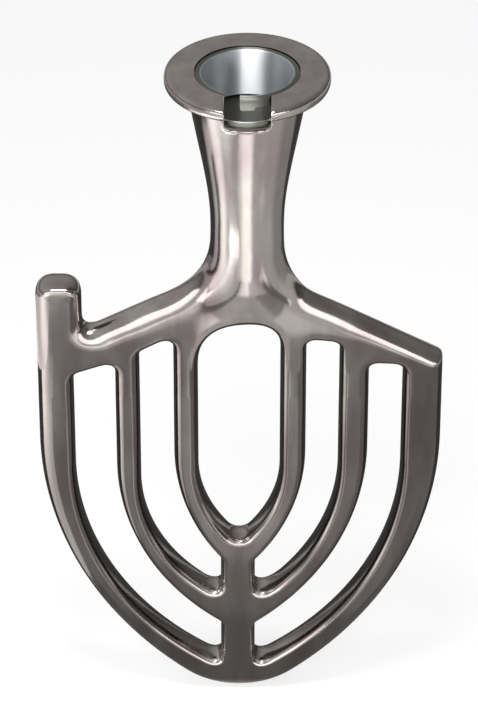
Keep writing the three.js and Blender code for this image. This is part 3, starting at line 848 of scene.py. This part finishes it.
def pin_slot():
    """The bayonet slot: in at the open left leg, along the floor, and up into the closed right leg."""
    half = NOTCH_WIDTH / 2
    tongue_tip = -LINER_RECESS - TONGUE_LENGTH
    lock_top = tongue_tip + LOCK_RISE
    tongue_half = TONGUE_WIDTH / 2
    corners = [Vector(corner) for corner in (
        (-half, -SLOT_DEPTH), (half, -SLOT_DEPTH), (half, lock_top), (tongue_half, lock_top),
        (tongue_half, tongue_tip), (-tongue_half, tongue_tip), (-tongue_half, OVERRUN), (-half, OVERRUN))]
    sides = [list(pair) for pair in zip(corners, corners[1:] + corners[:1])]
    radii = [SLOT_CORNER, SLOT_CORNER, LOCK_CORNER, LOCK_CORNER, SLOT_CORNER, 0, 0, SLOT_CORNER]
    outline = [(point.x, point.y) for point, _ in rounded_outline(sides, radii)]
    return solid("pin_slot", extruded(outline, -FLANGE_RADIUS, FRONT_CUT_BACK))


def make_liner():
    """The sleeve with its lip, every edge lightly broken, and the slot through its front wall."""
    top = -LINER_RECESS
    lip_radius = LINER_OUTER_RADIUS + LIP_WIDTH
    corners = [Vector(corner) for corner in (
        (LINER_BORE_RADIUS, top), (LINER_BORE_RADIUS, -LINER_DEPTH), (LINER_OUTER_RADIUS, -LINER_DEPTH),
        (LINER_OUTER_RADIUS, top - LIP_THICKNESS), (lip_radius, top - LIP_THICKNESS), (lip_radius, top))]
    sides = [list(pair) for pair in zip(corners, corners[1:] + corners[:1])]
    outline = rounded_outline(sides, [LINER_CHAMFER] * len(corners))
    liner = solid("liner", spun([(point.x, point.y) for point, _ in outline], closed=True))
    combine(liner, [pin_slot()], "DIFFERENCE")
    add_piece("steel_liner", liner, turned_steel(), "hub_liner")


def make_camera():
    data = bpy.data.cameras.new("camera")
    data.sensor_fit = "VERTICAL"
    data.sensor_height = SENSOR
    data.lens = SENSOR * FOCAL_PIXELS / PHOTO_HEIGHT_PIXELS
    camera = bpy.data.objects.new("camera", data)
    bpy.context.scene.collection.objects.link(camera)
    camera.location = Vector(CAMERA_PLACE) * MM
    camera.rotation_euler = (math.radians(90 - CAMERA_PITCH), 0, 0)
    bpy.context.scene.camera = camera


def add_softbox(name, place, target, size, brightness):
    """A rectangular soft light that faces its target."""
    data = bpy.data.lights.new(name, "AREA")
    data.shape = "RECTANGLE"
    data.size = size[0] * MM
    data.size_y = size[1] * MM
    data.energy = brightness * math.pi * data.size * data.size_y
    lamp = bpy.data.objects.new(name, data)
    bpy.context.scene.collection.objects.link(lamp)
    lamp.location = Vector(place) * MM
    towards = (Vector(target) - Vector(place)).normalized()
    lamp.rotation_mode = "QUATERNION"
    lamp.rotation_quaternion = towards.to_track_quat("-Z", "Y")
    lamp.visible_camera = False


def flat_sheet(name, low, high, level, finish=None):
    """A level stage sheet between two corners in X and Y, and the empty node tree of its material, which
    takes the sheet's name unless a finish is given."""
    skin = bmesh.new()
    bmesh.ops.create_grid(skin, x_segments=1, y_segments=1, size=0.5)
    spread = Vector((high[0] - low[0], high[1] - low[1], 1)) * MM
    bmesh.ops.scale(skin, verts=skin.verts, vec=spread)
    centre = Vector(((low[0] + high[0]) / 2, (low[1] + high[1]) / 2, level)) * MM
    bmesh.ops.translate(skin, verts=skin.verts, vec=centre)
    mesh = bpy.data.meshes.new(name)
    skin.to_mesh(mesh)
    skin.free()
    material, tree = new_material(finish or name)
    material.cycles.emission_sampling = "NONE"
    mesh.materials.append(material)
    sheet = bpy.data.objects.new(name, mesh)
    bpy.context.scene.collection.objects.link(sheet)
    return sheet, tree


def make_floor():
    """White paper: what it receives of the light shows the object's shadow, on top of an even white."""
    corner = (FLOOR_REACH, FLOOR_REACH)
    _, tree = flat_sheet("floor", (-FLOOR_REACH, -FLOOR_REACH), corner, FLOOR_LEVEL, "white_paper_sweep")
    paper = node(tree, "ShaderNodeBsdfDiffuse", values={"Color": from_hex("#e8e8e8")})
    shaded = node(tree, "ShaderNodeBsdfDiffuse", values={"Color": from_hex("#a8a8a8")})
    white = node(tree, "ShaderNodeEmission", values={"Strength": PAPER_GLOW})
    shown = node(tree, "ShaderNodeAddShader", links={0: (shaded, "BSDF"), 1: (white, "Emission")})
    path = node(tree, "ShaderNodeLightPath")
    either = node(tree, "ShaderNodeMath", settings={"operation": "MAXIMUM"},
                  links={0: (path, "Is Camera Ray"), 1: (path, "Is Glossy Ray")})
    seen = node(tree, "ShaderNodeMath", settings={"operation": "MAXIMUM"},
                links={0: (either, "Value"), 1: (path, "Is Transmission Ray")})
    mix = node(tree, "ShaderNodeMixShader",
               links={0: (seen, "Value"), 1: (paper, "BSDF"), 2: (shown, "Shader")})
    node(tree, "ShaderNodeOutputMaterial", links={"Surface": (mix, "Shader")})


def show_in_reflections(sheet, tree, values=None, links=None):
    """Gives a card its brightness, the Strength in values or links, and hides it from all but reflections."""
    tone = node(tree, "ShaderNodeEmission", values=values, links=links)
    node(tree, "ShaderNodeOutputMaterial", links={"Surface": (tone, "Emission")})
    sheet.visible_camera = False
    sheet.visible_diffuse = False
    sheet.visible_shadow = False


def azimuth(tree, axes):
    """The azimuth about the hub's axis, as a link's source."""
    ahead = node(tree, "ShaderNodeMath", settings={"operation": "MULTIPLY"}, values={1: -1.0},
                 links={0: (axes, "Y")})
    turn = node(tree, "ShaderNodeMath", settings={"operation": "ARCTAN2"},
                links={0: (axes, "X"), 1: (ahead, "Value")})
    return turn, "Value"


def add_graded_card(name, low, high, level, stops, by_azimuth=False):
    """A card whose brightness runs between stops of X, or of azimuth, and brightness."""
    card, tree = flat_sheet(name, low, high, level)
    place = node(tree, "ShaderNodeTexCoord")
    axes = node(tree, "ShaderNodeSeparateXYZ", links={"Vector": (place, "Object")})
    measured, unit = (axes, "X"), MM
    if by_azimuth:
        measured, unit = azimuth(tree, axes), math.radians(1)
    start, end = stops[0][0], stops[-1][0]
    share = node(tree, "ShaderNodeMapRange", values={"From Min": start * unit, "From Max": end * unit},
                 links={"Value": measured})
    ramp = node(tree, "ShaderNodeValToRGB", links={"Fac": (share, "Result")})
    bands = ramp.color_ramp.elements
    bands.remove(bands[1])
    brightest = max(brightness for _, brightness in stops)
    for i, (at, brightness) in enumerate(stops):
        position = (at - start) / (end - start)
        band = bands[0] if i == 0 else bands.new(position)
        band.position = position
        band.color = (brightness / brightest,) * 3 + (1,)
    strength = node(tree, "ShaderNodeMath", settings={"operation": "MULTIPLY"}, values={1: brightest},
                    links={0: (ramp, "Color")})
    show_in_reflections(card, tree, links={"Strength": (strength, "Value")})


def make_cards():
    for name, (low, high, level, brightness) in PLAIN_CARDS.items():
        card, tree = flat_sheet(name, low, high, level)
        show_in_reflections(card, tree, values={"Strength": brightness})
    for name, (low, high, level, stops) in GRADED_CARDS.items():
        add_graded_card(name, low, high, level, stops)
    for name, (low, high) in SHANK_CARDS.items():
        add_graded_card(name, low, high, RAISED_LEVEL, AROUND_SHANK, by_azimuth=True)


def make_world():
    """A grey studio, lighter on the left than on the right and darker towards the floor."""
    world = bpy.data.worlds.new("studio")
    world.use_nodes = True
    bpy.context.scene.world = world
    tree = world.node_tree
    tree.nodes.clear()
    place = node(tree, "ShaderNodeTexCoord")
    axes = node(tree, "ShaderNodeSeparateXYZ", links={"Vector": (place, "Generated")})
    across = node(tree, "ShaderNodeMapRange",
                  values={"From Min": SKY_SIDES[0], "From Max": SKY_SIDES[1],
                          "To Min": SKY_LEFT, "To Max": SKY_RIGHT},
                  links={"Value": (axes, "X")})
    height = node(tree, "ShaderNodeMapRange",
                  values={"From Min": SKY_HEIGHTS[0], "From Max": SKY_HEIGHTS[1],
                          "To Min": SKY_LOW_SHARE, "To Max": 1.0},
                  links={"Value": (axes, "Z")})
    level = node(tree, "ShaderNodeMath", settings={"operation": "MULTIPLY"},
                 links={0: (across, "Result"), 1: (height, "Result")})
    sky = node(tree, "ShaderNodeBackground", values={"Color": (1, 1, 1, 1)},
               links={"Strength": (level, "Value")})
    node(tree, "ShaderNodeOutputWorld", links={"Surface": (sky, "Background")})


bpy.context.scene.view_settings.view_transform = "Standard"
make_world()
make_floor()
make_cards()
make_camera()
for softbox, settings in SOFTBOXES.items():
    add_softbox(softbox, *settings)
make_casting()
make_liner()
